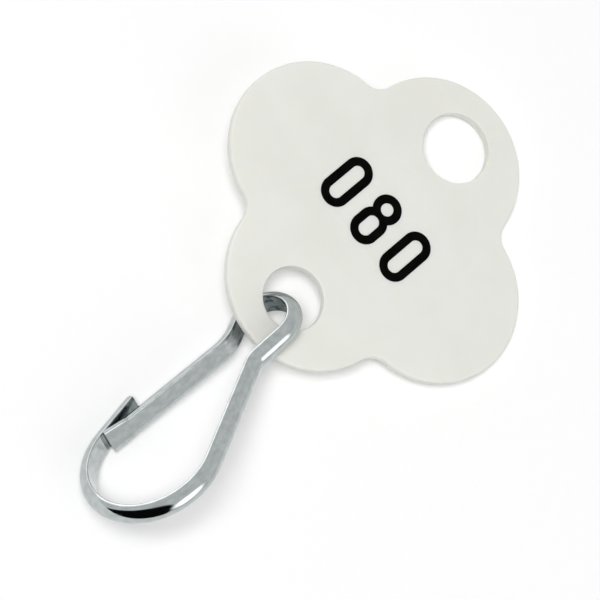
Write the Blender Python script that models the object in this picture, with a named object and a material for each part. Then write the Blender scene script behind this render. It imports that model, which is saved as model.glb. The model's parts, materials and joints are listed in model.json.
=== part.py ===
"""Numbered key tag: a four-lobed plastic plate on a sprung snap hook.

The plate carries three engraved and filled digits and two round holes.
The hook is one strip of half-round spring wire, bent round rollers into an
eye, a front leg, a wide bend and a tip.  Its last leg is the gate, which
springs inward from the waist below the eye.

Frames used below, all in metres:
  tag frame   origin at the plate's middle, +X and +Y towards neighbouring notches,
              +Z out of the numbered face; both holes lie on the line X = Y
  hook frame  origin at the middle of the wide bend, +Y towards the eye, +X from
              the gate to the front leg, +Z out of the hook's front edge
  world       the part lies on z = 0, +X from the hook towards the hanging hole
"""

import math

import bmesh
import bpy
from mathutils import Matrix, Vector

MM = 0.001

# Plate
TAG_WIDTH = 38.0 * MM
LOBE_RADIUS = 11.2 * MM
NOTCH_RADIUS = 2.7 * MM
TAG_THICKNESS = 1.3 * MM
HANG_HOLE_RADIUS = 4.4 * MM
HANG_HOLE_RIM = 3.13 * MM
HOOK_HOLE_RADIUS = 3.9 * MM
HOOK_HOLE_RIM_PLAY = 2.72 * MM

# Digits
NUMBER = "080"
DIGIT_HEIGHT = 7.75 * MM
DIGIT_WIDTH = 3.9 * MM
DIGIT_STROKE = 1.1 * MM
DIGIT_PITCH = 5.7 * MM
DIGIT_TURN = math.radians(-2.3)
DIGIT_ROW_OFFSET = (-0.25 * MM, 0.15 * MM)
EIGHT_TOP_WIDTH = 3.8 * MM
EIGHT_TOP_HEIGHT = 3.85 * MM
EIGHT_CROSSING = 1.3 * MM
ENGRAVING_DEPTH = 0.45 * MM
FILL_CLEARANCE = 0.05 * MM
FILL_RECESS = 0.05 * MM

# Hook strip, half-round with its flat side inside the loop
STRIP_WIDTH = 2.8 * MM
STRIP_THICKNESS = 1.5 * MM
BEND_RADIUS = 7.5 * MM
BEND_SHIFT = 0.25 * MM
EYE_RADIUS = 3.1 * MM
EYE_FROM_BEND = 22.0 * MM
WAIST_HALF_GAP = 2.15 * MM
FRONT_WAIST_FROM_BEND = 16.8 * MM
FRONT_WAIST_RADIUS = 3.0 * MM
GATE_WAIST_FROM_BEND = 17.65 * MM
GATE_WAIST_RADIUS = 6.5 * MM
TIP_LENGTH = 5.95 * MM
GATE_OVERLAP = 6.1 * MM
GATE_END_THICKNESS = 0.6 * MM
GATE_TIP_GAP = 0.3 * MM
FLEX_GAP = 0.3 * MM

# How the hook hangs in the plate
HOOK_SWING = math.radians(7.5)
LEG_CLEARANCE = 0.18 * MM
EYE_EDGE_PLAY = 0.36 * MM

ARC_STEP = math.radians(7.5)
HOLE_POINTS = 48
SECTION_ARC_POINTS = 8
CUT_MARGIN = 1.0 * MM
MERGE = 0.001 * MM

QUARTER = math.pi / 2
DIAGONAL = math.pi / 4


def clear_scene():
    """Remove everything that the opened file holds."""
    for obj in list(bpy.data.objects):
        bpy.data.objects.remove(obj, do_unlink=True)


def new_collection(name):
    collection = bpy.data.collections.new(name)
    bpy.context.scene.collection.children.link(collection)
    return collection


def plain_material(name, colour, roughness, metallic=0.0):
    material = bpy.data.materials.new(name)
    material.use_nodes = True
    shader = material.node_tree.nodes["Principled BSDF"]
    shader.inputs["Base Color"].default_value = (*colour, 1.0)
    shader.inputs["Roughness"].default_value = roughness
    shader.inputs["Metallic"].default_value = metallic
    return material


def arc(centre, radius, start, end):
    """Points on an arc from angle start to angle end, both ends included."""
    steps = max(2, math.ceil(abs(end - start) / ARC_STEP))
    points = []
    for step in range(steps + 1):
        angle = start + (end - start) * step / steps
        points.append(centre + radius * Vector((math.cos(angle), math.sin(angle))))
    return points


def circle(centre, radius):
    points = []
    for step in range(HOLE_POINTS):
        angle = 2 * math.pi * step / HOLE_POINTS
        points.append(centre + radius * Vector((math.cos(angle), math.sin(angle))))
    return points


def lobed_outline():
    """The plate's edge: four round lobes joined by four filleted notches."""
    lobe_centre = TAG_WIDTH / 2 - LOBE_RADIUS
    notch_centre = lobe_centre + math.sqrt((LOBE_RADIUS + NOTCH_RADIUS) ** 2 - lobe_centre ** 2)
    meet = math.atan2(notch_centre - lobe_centre, -lobe_centre)
    lobe = arc(Vector((lobe_centre, lobe_centre)), LOBE_RADIUS, QUARTER - meet, meet)
    notch = arc(Vector((0.0, notch_centre)), NOTCH_RADIUS, meet - math.pi, -meet)
    outline = []
    for turn in range(4):
        turned = Matrix.Rotation(turn * QUARTER, 2)
        outline += [turned @ point for point in lobe + notch[1:-1]]
    return outline


def lobe_edge():
    """How far the lobes reach from the plate's middle, along the holes' line."""
    return math.sqrt(2) * (TAG_WIDTH / 2 - LOBE_RADIUS) + LOBE_RADIUS


def on_holes_line(distance):
    """A point on the line through both holes, at a signed distance from the middle."""
    return distance * Vector((math.cos(DIAGONAL), math.sin(DIAGONAL)))


def hang_hole_centre():
    return on_holes_line(lobe_edge() - HANG_HOLE_RIM - HANG_HOLE_RADIUS)


def hook_hole_centre():
    """The hook hole leaves a rim that the eye closes round with its play."""
    rim = 2 * EYE_RADIUS - HOOK_HOLE_RIM_PLAY
    return on_holes_line(rim + HOOK_HOLE_RADIUS - lobe_edge())


def stadium(centre, width, height):
    """An upright slot outline with half-round ends."""
    radius = width / 2
    rise = Vector((0.0, height / 2 - radius))
    return arc(centre + rise, radius, 0.0, math.pi) + arc(centre - rise, radius, math.pi, 2 * math.pi)


def drop_repeats(points):
    kept = []
    for point in points:
        if not kept or (point - kept[-1]).length > MERGE:
            kept.append(point)
    if (kept[0] - kept[-1]).length < MERGE:
        kept.pop()
    return kept


def flat_curve(name, outlines, thickness, collection):
    """A filled 2D curve of closed outlines, thickness thick about its own plane."""
    data = bpy.data.curves.new(name, "CURVE")
    data.dimensions = "2D"
    data.fill_mode = "BOTH"
    data.extrude = thickness / 2
    for outline in outlines:
        outline = drop_repeats(outline)
        spline = data.splines.new("POLY")
        spline.points.add(len(outline) - 1)
        for place, point in zip(spline.points, outline):
            place.co = (point.x, point.y, 0.0, 1.0)
        spline.use_cyclic_u = True
    obj = bpy.data.objects.new(name, data)
    collection.objects.link(obj)
    return obj


def mesh_from(obj):
    """Replace a curve or modified object by its evaluated mesh, welded and facing out."""
    graph = bpy.context.evaluated_depsgraph_get()
    graph.update()
    mesh = bpy.data.meshes.new_from_object(obj.evaluated_get(graph))
    mesh.name = obj.name
    work = bmesh.new()
    work.from_mesh(mesh)
    bmesh.ops.remove_doubles(work, verts=work.verts, dist=MERGE)
    bmesh.ops.dissolve_degenerate(work, edges=work.edges, dist=MERGE)
    bmesh.ops.recalc_face_normals(work, faces=work.faces)
    work.to_mesh(mesh)
    work.free()
    name = obj.name
    collection = obj.users_collection[0]
    matrix = obj.matrix_world.copy()
    bpy.data.objects.remove(obj, do_unlink=True)
    made = bpy.data.objects.new(name, mesh)
    made.matrix_world = matrix
    collection.objects.link(made)
    return made


def shape_boolean(obj, tool, operation):
    """Apply an exact Boolean of obj with tool and return the result as a mesh object."""
    modifier = obj.modifiers.new(operation.lower(), "BOOLEAN")
    modifier.operation = operation
    modifier.solver = "EXACT"
    modifier.object = tool
    return mesh_from(obj)


def digit_rings(figure, inset):
    """The outer and inner outlines of each ring that makes up a figure.

    An inset makes every stroke thinner by that much on each side.
    """
    if figure == "0":
        sizes = [(0.0, DIGIT_WIDTH, DIGIT_HEIGHT)]
    else:
        low_height = DIGIT_HEIGHT - EIGHT_TOP_HEIGHT + EIGHT_CROSSING
        top_centre = (DIGIT_HEIGHT - EIGHT_TOP_HEIGHT) / 2
        low_centre = (low_height - DIGIT_HEIGHT) / 2
        sizes = [(top_centre, EIGHT_TOP_WIDTH, EIGHT_TOP_HEIGHT), (low_centre, DIGIT_WIDTH, low_height)]
    rings = []
    for rise, width, height in sizes:
        edges = []
        for shrink in (2 * inset, 2 * (DIGIT_STROKE - inset)):
            edges.append(stadium(Vector((0.0, rise)), width - shrink, height - shrink))
        rings.append(edges)
    return rings


def digit_solid(name, figure, inset, thickness, collection):
    """A figure as one solid, its rings joined where they meet."""
    solid = None
    for index, ring in enumerate(digit_rings(figure, inset)):
        part = mesh_from(flat_curve(f"{name}_ring_{index}", ring, thickness, collection))
        if solid is None:
            solid = part
        else:
            solid = shape_boolean(solid, part, "UNION")
            bpy.data.objects.remove(part, do_unlink=True)
    solid.name = name
    solid.data.name = name
    return solid


def belt_tangent(first, second):
    """The straight run from one roller to the next, for a strip's inner face.

    A roller is (centre, radius, turn): turn +1 bends to the left, -1 to the right,
    and a radius of 0 is a plain point.
    """
    centre_a, radius_a, turn_a = first
    centre_b, radius_b, turn_b = second
    reach = centre_b - centre_a
    along = reach.normalized()
    left = Vector((-along.y, along.x))
    sine = (turn_b * radius_b - turn_a * radius_a) / reach.length
    normal = sine * along + math.sqrt(1 - sine * sine) * left
    return centre_a - turn_a * radius_a * normal, centre_b - turn_b * radius_b * normal


def roller_arc(roller, start, end):
    """The arc round a roller between the points where the strip meets and leaves it."""
    centre, radius, turn = roller
    begin = math.atan2(start.y - centre.y, start.x - centre.x)
    finish = math.atan2(end.y - centre.y, end.x - centre.x)
    sweep = ((finish - begin) * turn) % (2 * math.pi)
    return arc(centre, radius, begin, begin + turn * sweep)


def tip_inner_x():
    """Where the tip's flat inner face stands, across the hook."""
    return -BEND_SHIFT - BEND_RADIUS


def hook_rollers():
    """The rollers that the strip is bent round, from the tip to the gate's end."""
    gate_end_x = tip_inner_x() + GATE_TIP_GAP + GATE_END_THICKNESS
    front_x = WAIST_HALF_GAP + FRONT_WAIST_RADIUS
    gate_x = -WAIST_HALF_GAP - GATE_WAIST_RADIUS
    return {
        "tip": (Vector((tip_inner_x(), TIP_LENGTH)), 0.0, 1),
        "bend": (Vector((-BEND_SHIFT, 0.0)), BEND_RADIUS, 1),
        "front_waist": (Vector((front_x, FRONT_WAIST_FROM_BEND)), FRONT_WAIST_RADIUS, -1),
        "eye": (Vector((0.0, EYE_FROM_BEND)), EYE_RADIUS, 1),
        "gate_waist": (Vector((gate_x, GATE_WAIST_FROM_BEND)), GATE_WAIST_RADIUS, -1),
        "gate_end": (Vector((gate_end_x, TIP_LENGTH - GATE_OVERLAP)), 0.0, 1),
    }


def hook_paths():
    """Inner-face lines of the hook's body and of its gate, and the flex point between."""
    rollers = hook_rollers()
    order = list(rollers.values())
    runs = [belt_tangent(a, b) for a, b in zip(order[:-1], order[1:])]
    body = [runs[0][0]]
    for index, roller in enumerate(order[1:-1], start=1):
        body += roller_arc(roller, runs[index - 1][1], runs[index][0])
    flex_inner, gate_end = runs[-1]
    along = (gate_end - flex_inner).normalized()
    outward = Vector((along.y, -along.x))
    gate = [flex_inner + along * FLEX_GAP, gate_end]
    flex_point = flex_inner + along * FLEX_GAP / 2 + outward * STRIP_THICKNESS / 2
    return body, gate, flex_point


def strip_section(collection):
    """The strip's half-round section: flat inside at y = 0, crown outside."""
    half = STRIP_WIDTH / 2
    points = []
    for step in range(SECTION_ARC_POINTS + 1):
        angle = math.pi * step / SECTION_ARC_POINTS
        points.append(Vector((STRIP_THICKNESS * math.sin(angle), half * math.cos(angle))))
    section = flat_curve("strip_section", [points], 0.0, collection)
    section.data.fill_mode = "NONE"
    section.hide_render = True
    section.display_type = "WIRE"
    return section


def strip_along(name, path, section, collection):
    """The half-round strip swept along a flat path, as a closed mesh."""
    points = []
    for point in path:
        if not points or (point - points[-1]).length > MERGE:
            points.append(point)
    data = bpy.data.curves.new(name, "CURVE")
    data.dimensions = "3D"
    data.twist_mode = "Z_UP"
    data.bevel_mode = "OBJECT"
    data.bevel_object = section
    data.use_fill_caps = True
    spline = data.splines.new("POLY")
    spline.points.add(len(points) - 1)
    for place, point in zip(spline.points, points):
        place.co = (point.x, point.y, 0.0, 1.0)
    obj = bpy.data.objects.new(name, data)
    collection.objects.link(obj)
    return mesh_from(obj)


def flatten_gate_end(gate, cutters):
    """Take the crown off the gate's end, parallel to the tip's face that it rests on."""
    work = bmesh.new()
    bmesh.ops.create_cube(work, size=1.0)
    mesh = bpy.data.meshes.new("seat_cutter")
    work.to_mesh(mesh)
    work.free()
    cutter = bpy.data.objects.new("seat_cutter", mesh)
    cutters.objects.link(cutter)
    cutter.hide_render = True
    cutter.display_type = "WIRE"
    cutter.scale = (STRIP_WIDTH, 2 * TIP_LENGTH, 2 * STRIP_WIDTH)
    cutter.location.x = tip_inner_x() + GATE_TIP_GAP - STRIP_WIDTH / 2
    return shape_boolean(gate, cutter, "DIFFERENCE")


def finish_piece(obj, parent, material, at=None):
    """Dress a piece, shade its round faces smooth and hang it on its frame."""
    obj.data.materials.clear()
    obj.data.materials.append(material)
    obj.data.shade_smooth()
    obj.data.set_sharp_from_angle(angle=math.radians(35))
    obj.parent = parent
    obj.matrix_parent_inverse = Matrix.Identity(4)
    obj.matrix_local = at or Matrix.Identity(4)
    return obj


def new_frame(name, parent, matrix, collection):
    """An empty that marks a frame or a joint's axis."""
    empty = bpy.data.objects.new(name, None)
    empty.empty_display_size = 5 * MM
    collection.objects.link(empty)
    empty.parent = parent
    empty.matrix_local = matrix
    return empty


def hook_roll():
    """How far the hook leans about its own axis before its legs meet the plate.

    At the waist one leg is over the rim and the other under it.  The inner edges of
    the two flat faces then stand off the plate's faces by the leg clearance.
    """
    half_width = STRIP_WIDTH / 2
    corner = math.hypot(WAIST_HALF_GAP, half_width)
    upright = math.atan2(half_width, WAIST_HALF_GAP)
    return upright + math.asin((TAG_THICKNESS / 2 + LEG_CLEARANCE) / corner)


def hook_in_tag():
    """Matrix of the hook frame in the tag frame.

    The hook's long axis lies in the plate's middle plane and is swung off the holes'
    line.  The eye closes round the lobe's rim, just clear of its edge.
    """
    eye_centre = on_holes_line(EYE_RADIUS - EYE_EDGE_PLAY - lobe_edge()).to_3d()
    heading = Matrix.Rotation(DIAGONAL + HOOK_SWING - QUARTER, 4, "Z")
    roll = Matrix.Rotation(-hook_roll(), 4, "Y")
    to_bend = Matrix.Translation((0.0, -EYE_FROM_BEND, 0.0))
    return Matrix.Translation(eye_centre) @ heading @ roll @ to_bend


def lying_turn(hook_points):
    """The turn that lays the part down: two lobes and the hook's lowest edge touch."""
    edge_x = TAG_WIDTH / 2
    edge_z = -TAG_THICKNESS / 2
    lift = max(math.atan2(edge_z - point.z, edge_x - point.x) for point in hook_points)
    return Matrix.Rotation(-DIAGONAL, 4, "Z") @ Matrix.Rotation(lift, 4, "Y")


def build_plate(collection, cutters):
    """The plate with its two holes, and the grooves that the digits fill."""
    outlines = [lobed_outline()]
    outlines.append(circle(hang_hole_centre(), HANG_HOLE_RADIUS))
    outlines.append(circle(hook_hole_centre(), HOOK_HOLE_RADIUS))
    plate = mesh_from(flat_curve("tag_plate", outlines, TAG_THICKNESS, collection))
    for place, figure in digit_places():
        depth = ENGRAVING_DEPTH + CUT_MARGIN
        cutter = digit_solid("groove", figure, 0.0, depth, cutters)
        cutter.matrix_world = place @ Matrix.Translation((0.0, 0.0, depth / 2 - ENGRAVING_DEPTH))
        plate = shape_boolean(plate, cutter, "DIFFERENCE")
        cutter.hide_render = True
        cutter.display_type = "WIRE"
    return plate


def digit_places():
    """Each figure's frame on the plate's face, +X as the row reads, and the figure."""
    row = Matrix.Rotation(-DIAGONAL, 4, "Z") @ Matrix.Translation((*DIGIT_ROW_OFFSET, TAG_THICKNESS / 2))
    turn = Matrix.Rotation(DIGIT_TURN, 4, "Z")
    places = []
    for index, figure in enumerate(NUMBER):
        step = Matrix.Translation(((index - 1) * DIGIT_PITCH, 0.0, 0.0))
        places.append((row @ turn @ step, figure))
    return places


def build_fills(collection):
    """The enamel that fills the three engraved digits."""
    thickness = ENGRAVING_DEPTH - FILL_CLEARANCE - FILL_RECESS
    fills = []
    names = ("first_digit_fill", "middle_digit_fill", "last_digit_fill")
    for name, (place, figure) in zip(names, digit_places()):
        fill = digit_solid(name, figure, FILL_CLEARANCE, thickness, collection)
        lowered = Matrix.Translation((0.0, 0.0, -FILL_RECESS - thickness / 2))
        fills.append((fill, place @ lowered))
    return fills


def world_box(collection):
    """Lowest and highest corner of the box round every mesh in a collection."""
    graph = bpy.context.evaluated_depsgraph_get()
    graph.update()
    points = []
    for obj in collection.objects:
        if obj.type == "MESH":
            points += [obj.matrix_world @ vertex.co for vertex in obj.data.vertices]
    low = Vector(min(point[axis] for point in points) for axis in range(3))
    high = Vector(max(point[axis] for point in points) for axis in range(3))
    return low, high


def main():
    clear_scene()
    parts = new_collection("numbered_key_tag")
    cutters = new_collection("cutters")

    plastic = plain_material("white_plastic", (0.86, 0.86, 0.82), 0.42)
    enamel = plain_material("black_enamel", (0.012, 0.012, 0.011), 0.35)
    plated = plain_material("bright_plating", (0.74, 0.76, 0.76), 0.12, 1.0)

    section = strip_section(cutters)
    body_path, gate_path, flex_point = hook_paths()
    body = strip_along("hook_body", body_path, section, parts)
    gate = flatten_gate_end(strip_along("gate_arm", gate_path, section, parts), cutters)

    hook_matrix = hook_in_tag()
    hook_points = [hook_matrix @ vertex.co for piece in (body, gate) for vertex in piece.data.vertices]
    tag_frame = new_frame("tag_frame", None, lying_turn(hook_points), parts)

    finish_piece(build_plate(parts, cutters), tag_frame, plastic)
    for fill, place in build_fills(parts):
        finish_piece(fill, tag_frame, enamel, place)

    pivot = Matrix.Translation(hook_hole_centre().to_3d())
    swing_axis = new_frame("swing_axis", tag_frame, pivot, parts)
    finish_piece(body, swing_axis, plated, pivot.inverted() @ hook_matrix)

    flex_shift = Matrix.Translation(flex_point.to_3d())
    flex_axis = new_frame("flex_axis", swing_axis, pivot.inverted() @ hook_matrix @ flex_shift, parts)
    finish_piece(gate, flex_axis, plated, flex_shift.inverted())

    low, high = world_box(parts)
    tag_frame.location -= Vector(((low.x + high.x) / 2, (low.y + high.y) / 2, low.z))


if __name__ == "__main__":
    main()
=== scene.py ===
"""Looks of a numbered key tag on a sprung snap hook.

The plate is moulded plastic with an engraved and filled number.  The hook is one strip
of half-round spring wire: a wide bend, a front leg, an eye and a sprung gate.  Shapes
are built in millimetres in the plate's or the hook's own frame, and baked into metres
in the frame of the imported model.
"""

import json
import logging
import math
from dataclasses import dataclass, field
from enum import Enum
from typing import Callable, Sequence

import bmesh
import bpy
from mathutils import Matrix, Vector
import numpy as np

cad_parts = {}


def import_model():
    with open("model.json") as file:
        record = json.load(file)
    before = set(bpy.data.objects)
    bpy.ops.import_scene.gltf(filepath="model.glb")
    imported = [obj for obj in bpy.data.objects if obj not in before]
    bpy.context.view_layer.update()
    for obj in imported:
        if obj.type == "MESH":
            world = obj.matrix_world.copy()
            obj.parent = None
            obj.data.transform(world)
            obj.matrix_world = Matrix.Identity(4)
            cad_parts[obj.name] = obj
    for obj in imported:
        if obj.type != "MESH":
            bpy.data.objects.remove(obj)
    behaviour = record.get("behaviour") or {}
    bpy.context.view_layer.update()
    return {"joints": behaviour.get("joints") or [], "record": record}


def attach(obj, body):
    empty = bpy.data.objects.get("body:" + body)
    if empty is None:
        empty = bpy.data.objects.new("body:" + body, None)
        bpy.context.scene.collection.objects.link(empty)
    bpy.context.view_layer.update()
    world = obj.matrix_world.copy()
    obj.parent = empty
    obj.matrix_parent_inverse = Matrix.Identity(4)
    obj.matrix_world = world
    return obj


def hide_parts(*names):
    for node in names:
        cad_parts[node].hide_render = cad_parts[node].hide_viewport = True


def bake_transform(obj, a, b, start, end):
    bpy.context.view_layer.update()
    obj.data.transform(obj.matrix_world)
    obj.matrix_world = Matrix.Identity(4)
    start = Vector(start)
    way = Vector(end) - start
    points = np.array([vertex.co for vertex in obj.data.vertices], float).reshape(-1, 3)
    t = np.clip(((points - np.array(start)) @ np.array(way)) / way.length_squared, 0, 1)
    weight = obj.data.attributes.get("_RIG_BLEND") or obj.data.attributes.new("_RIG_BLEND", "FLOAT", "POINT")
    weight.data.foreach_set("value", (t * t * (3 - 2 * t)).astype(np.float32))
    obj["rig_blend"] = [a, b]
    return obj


LOG = logging.getLogger("key_tag")
MM = 0.001
QUARTER = math.pi / 2
DIAGONAL = math.pi / 4
SHARP_ANGLE = math.radians(50.0)
WHITE = (1.0, 1.0, 1.0)
# A mix node's sockets for its share and two colours, and for the mixed colour.
COLOUR_MIX_INPUTS = (0, 6, 7)
COLOUR_MIX_OUTPUT = 2

Ring = list[Vector]
VertexRing = list[bmesh.types.BMVert]
Pair = tuple[float, float]
Colour = tuple[float, float, float]
Socket = bpy.types.NodeSocket
Material = bpy.types.Material


class Turn(Enum):
    """Which way a strip bends round a roller, seen along its run."""

    LEFT = 1
    RIGHT = -1


class Figure(Enum):
    """The figures that the number uses."""

    ZERO = "0"
    EIGHT = "8"


# Finishes


class NodeBench:
    """A node tree, with short calls that add and join its nodes."""

    def __init__(self, owner: Material | bpy.types.World) -> None:
        """Take over the node tree of a new material or a new world."""
        owner.use_nodes = True
        self.tree = owner.node_tree

    def feed(self, target: Socket, source: object) -> None:
        """Link a socket to a source socket, or set it to a plain value.

        Args:
            target: The socket that is fed.
            source: Another node's output, a number, a colour or a vector.
        """
        if isinstance(source, Socket):
            self.tree.links.new(source, target)
        else:
            target.default_value = source

    def node(self, kind: str, **settings: object) -> bpy.types.Node:
        """Add a node.

        Args:
            kind: The node's Blender type.
            settings: Its properties, or its inputs by name with _ for a space.

        Returns:
            The new node.
        """
        made = self.tree.nodes.new(kind)
        for key, value in settings.items():
            if hasattr(made, key):
                setattr(made, key, value)
            else:
                self.feed(made.inputs[key.replace("_", " ")], value)
        return made

    def attribute(self, name: str) -> Socket:
        """A mesh's own value at each vertex, as a socket."""
        return self.node("ShaderNodeAttribute", attribute_name=name).outputs["Fac"]

    def place(self, space: str, stretch: tuple[float, float, float] = (1.0, 1.0, 1.0)) -> Socket:
        """A place to sample noise at, in Object or UV space, stretched along each axis."""
        coords = self.node("ShaderNodeTexCoord").outputs[space]
        return self.node("ShaderNodeMapping", Vector=coords, Scale=stretch).outputs["Vector"]

    def noise(self, place: Socket, scale: float, detail: float) -> Socket:
        """Fractal noise from 0 to 1 at a place, as a socket."""
        made = self.node("ShaderNodeTexNoise", Vector=place, Scale=scale, Detail=detail)
        return made.outputs["Fac"]

    def between(
        self,
        value: Socket,
        low: Socket | float,
        high: Socket | float,
        start: float = 0.3,
        stop: float = 0.7,
        curve: str = "LINEAR",
    ) -> Socket:
        """Map a value from start..stop to low..high.

        Args:
            value: The socket to map.
            low: Result at start.
            high: Result at stop.
            start: Value that gives low.
            stop: Value that gives high.
            curve: Blender's name for the way from one to the other.

        Returns:
            The mapped socket.
        """
        ends = {"From_Min": start, "From_Max": stop, "To_Min": low, "To_Max": high}
        made = self.node("ShaderNodeMapRange", interpolation_type=curve, Value=value, **ends)
        return made.outputs["Result"]

    def tint(self, value: Socket, low: tuple[float, Colour], high: tuple[float, Colour]) -> Socket:
        """Colour a value through a ramp of two stops.

        Args:
            value: The socket to colour.
            low: Position and colour of the first stop.
            high: Position and colour of the second stop.

        Returns:
            The colour's socket.
        """
        ramp = self.node("ShaderNodeValToRGB", Fac=value)
        for stop, (position, colour) in zip(ramp.color_ramp.elements, (low, high)):
            stop.position = position
            stop.color = (*colour, 1.0)
        return ramp.outputs["Color"]

    def mixed(self, share: Socket, first: Socket, second: Socket) -> Socket:
        """Mix two colours.

        Args:
            share: How much of the second colour there is.
            first: The first colour.
            second: The second colour.

        Returns:
            The mixed colour's socket.
        """
        made = self.node("ShaderNodeMix", data_type="RGBA")
        for index, source in zip(COLOUR_MIX_INPUTS, (share, first, second)):
            self.feed(made.inputs[index], source)
        return made.outputs[COLOUR_MIX_OUTPUT]


class FinishBench(NodeBench):
    """A new material's node tree, with one Principled shader."""

    def __init__(self, name: str) -> None:
        """Start a new material.

        Args:
            name: The material's name.
        """
        self.material = bpy.data.materials.new(name)
        super().__init__(self.material)
        self.shader = self.tree.nodes["Principled BSDF"]

    def surface(self, **inputs: object) -> None:
        """Link or set the shader's own inputs by name, with _ for a space."""
        for key, value in inputs.items():
            self.feed(self.shader.inputs[key.replace("_", " ")], value)

    def relief(self, heights: Sequence[tuple[Socket, float]]) -> None:
        """Stack bumps on the shader.

        Args:
            heights: Each a height socket and its depth in millimetres.
        """
        normal = None
        for height, depth in heights:
            bump = self.node("ShaderNodeBump", Height=height, Distance=depth * MM)
            if normal is not None:
                self.feed(bump.inputs["Normal"], normal)
            normal = bump.outputs["Normal"]
        self.feed(self.shader.inputs["Normal"], normal)


@dataclass(frozen=True)
class SatinPlastic:
    """White moulded plastic that lets a little light through.

    Attributes:
        light: Colour of its lighter patches.
        dark: Colour of its darker patches.
        wall: Deepest colour of its walls, painted shade that makes them darker and greener.
        roughness: Roughness where the grain is lowest and where it is highest.
        scatter_mm: How far light spreads under its skin.
        scatter_share: Red, green and blue shares of that distance.
        swell_mm: Depth of its slow waves.
        orange_peel_mm: Depth of the mould's fine texture.
    """

    light: Colour = (0.815, 0.82, 0.775)
    dark: Colour = (0.79, 0.795, 0.745)
    wall: Colour = (0.70, 0.715, 0.60)
    roughness: Pair = (0.40, 0.52)
    scatter_mm: float = 1.1
    scatter_share: tuple[float, float, float] = (1.0, 0.95, 0.72)
    swell_mm: float = 0.02
    orange_peel_mm: float = 0.006

    def material(self) -> Material:
        """Build the finish.

        Returns:
            The material.
        """
        bench = FinishBench("satin_white_plastic")
        place = bench.place("Object")
        flow = bench.noise(place, scale=160.0, detail=3.0)
        grain = bench.noise(place, scale=3200.0, detail=4.0)
        swell = bench.noise(place, scale=420.0, detail=2.0)
        face = bench.tint(flow, (0.35, self.dark), (0.65, self.light))
        # Painted shade: the walls' weight turns the holes' walls and the outer edge darker and greener.
        depth = bench.tint(flow, (0.0, self.wall), (1.0, WHITE))
        bench.surface(
            Base_Color=bench.mixed(bench.attribute("wall"), face, depth),
            Roughness=bench.between(grain, *self.roughness),
            IOR=1.49,
            Specular_IOR_Level=0.42,
            Subsurface_Weight=0.35,
            Subsurface_Radius=self.scatter_share,
            Subsurface_Scale=self.scatter_mm * MM,
        )
        bench.relief([(swell, self.swell_mm), (grain, self.orange_peel_mm)])
        return bench.material


@dataclass(frozen=True)
class BlackEnamel:
    """Black enamel wiped into engraving, with a slightly uneven skin.

    Attributes:
        colour: Its colour.
        smear: Colour of its thinner streaks.
        roughness: Roughness where the skin is lowest and where it is highest.
        skin_mm: Depth of its uneven skin.
    """

    colour: Colour = (0.0008, 0.0008, 0.0006)
    smear: Colour = (0.003, 0.003, 0.0024)
    roughness: Pair = (0.30, 0.46)
    skin_mm: float = 0.008

    def material(self) -> Material:
        """Build the finish.

        Returns:
            The material.
        """
        bench = FinishBench("black_enamel")
        place = bench.place("Object")
        streak = bench.noise(place, scale=900.0, detail=3.0)
        skin = bench.noise(place, scale=2600.0, detail=3.0)
        bench.surface(
            Base_Color=bench.tint(streak, (0.4, self.colour), (0.75, self.smear)),
            Roughness=bench.between(skin, *self.roughness),
            IOR=1.5,
            Specular_IOR_Level=0.025,
        )
        bench.relief([(skin, self.skin_mm)])
        return bench.material


@dataclass(frozen=True)
class BrightPlating:
    """Bright nickel plating on drawn spring steel.

    The strip's UV runs along it in U and round it in V, in millimetres, so drawing
    lines follow its bends.

    Attributes:
        bright: Colour of the clean plating.
        dull: Colour where the plating is cloudy.
        pitted: Darkest colour in its small pits.
        worn_and_shaded: Dull worn colour with painted shade, inside the eye and in the tip's gap.
        wear_shade_stain: Darkest blotches of that painted shade and staining.
        smooth: Roughness where it is clean.
        cloudy: Roughness where it is cloudy.
        worn: Roughness where the plating is worn.
        dent_mm: Depth of its shallow dents.
        line_mm: Depth of its drawing lines.
    """

    bright: Colour = (0.51, 0.545, 0.545)
    dull: Colour = (0.425, 0.46, 0.46)
    pitted: Colour = (0.27, 0.30, 0.30)
    # Painted shade: the next two colours darken the worn inside of the eye and the tip's gap.
    worn_and_shaded: Colour = (0.17, 0.20, 0.205)
    wear_shade_stain: Colour = (0.035, 0.045, 0.05)
    smooth: float = 0.05
    cloudy: float = 0.12
    worn: float = 0.22
    dent_mm: float = 0.008
    line_mm: float = 0.0015

    @staticmethod
    def waves(bench: FinishBench, along: float, around: float, detail: float) -> Socket:
        """Noise on the strip, by its waves per millimetre along and round it."""
        return bench.noise(bench.place("UV", (along, around, 1.0)), scale=1.0, detail=detail)

    def material(self) -> Material:
        """Build the finish.

        Returns:
            The material.
        """
        bench = FinishBench("bright_plating")
        lines = self.waves(bench, along=0.35, around=9.0, detail=4.0)
        dents = self.waves(bench, along=0.55, around=0.8, detail=2.0)
        cloud = self.waves(bench, along=0.9, around=1.3, detail=4.0)
        pits = self.waves(bench, along=2.2, around=5.0, detail=3.0)
        # Painted shade and wear: the mesh's weight below darkens the eye and the tip's gap, and roughens them.
        stain_shade_blotches = self.waves(bench, along=0.9, around=1.3, detail=3.0)
        wear_shade = bench.attribute("wear_shade")
        clean = bench.tint(cloud, (0.36, self.dull), (0.62, self.bright))
        pit = bench.tint(pits, (0.0, self.pitted), (1.0, WHITE))
        pit_share = bench.between(pits, 0.75, 0.0, start=0.24, stop=0.36)
        worn_shade_colour = bench.tint(stain_shade_blotches, (0.36, self.wear_shade_stain), (0.52, self.worn_and_shaded))
        unworn = bench.between(cloud, self.cloudy, self.smooth)
        bench.surface(
            Base_Color=bench.mixed(wear_shade, bench.mixed(pit_share, clean, pit), worn_shade_colour),
            Roughness=bench.between(wear_shade, unworn, self.worn, start=0.0, stop=1.0),
            Metallic=1.0,
        )
        bench.relief([(dents, self.dent_mm), (lines, self.line_mm)])
        return bench.material


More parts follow.
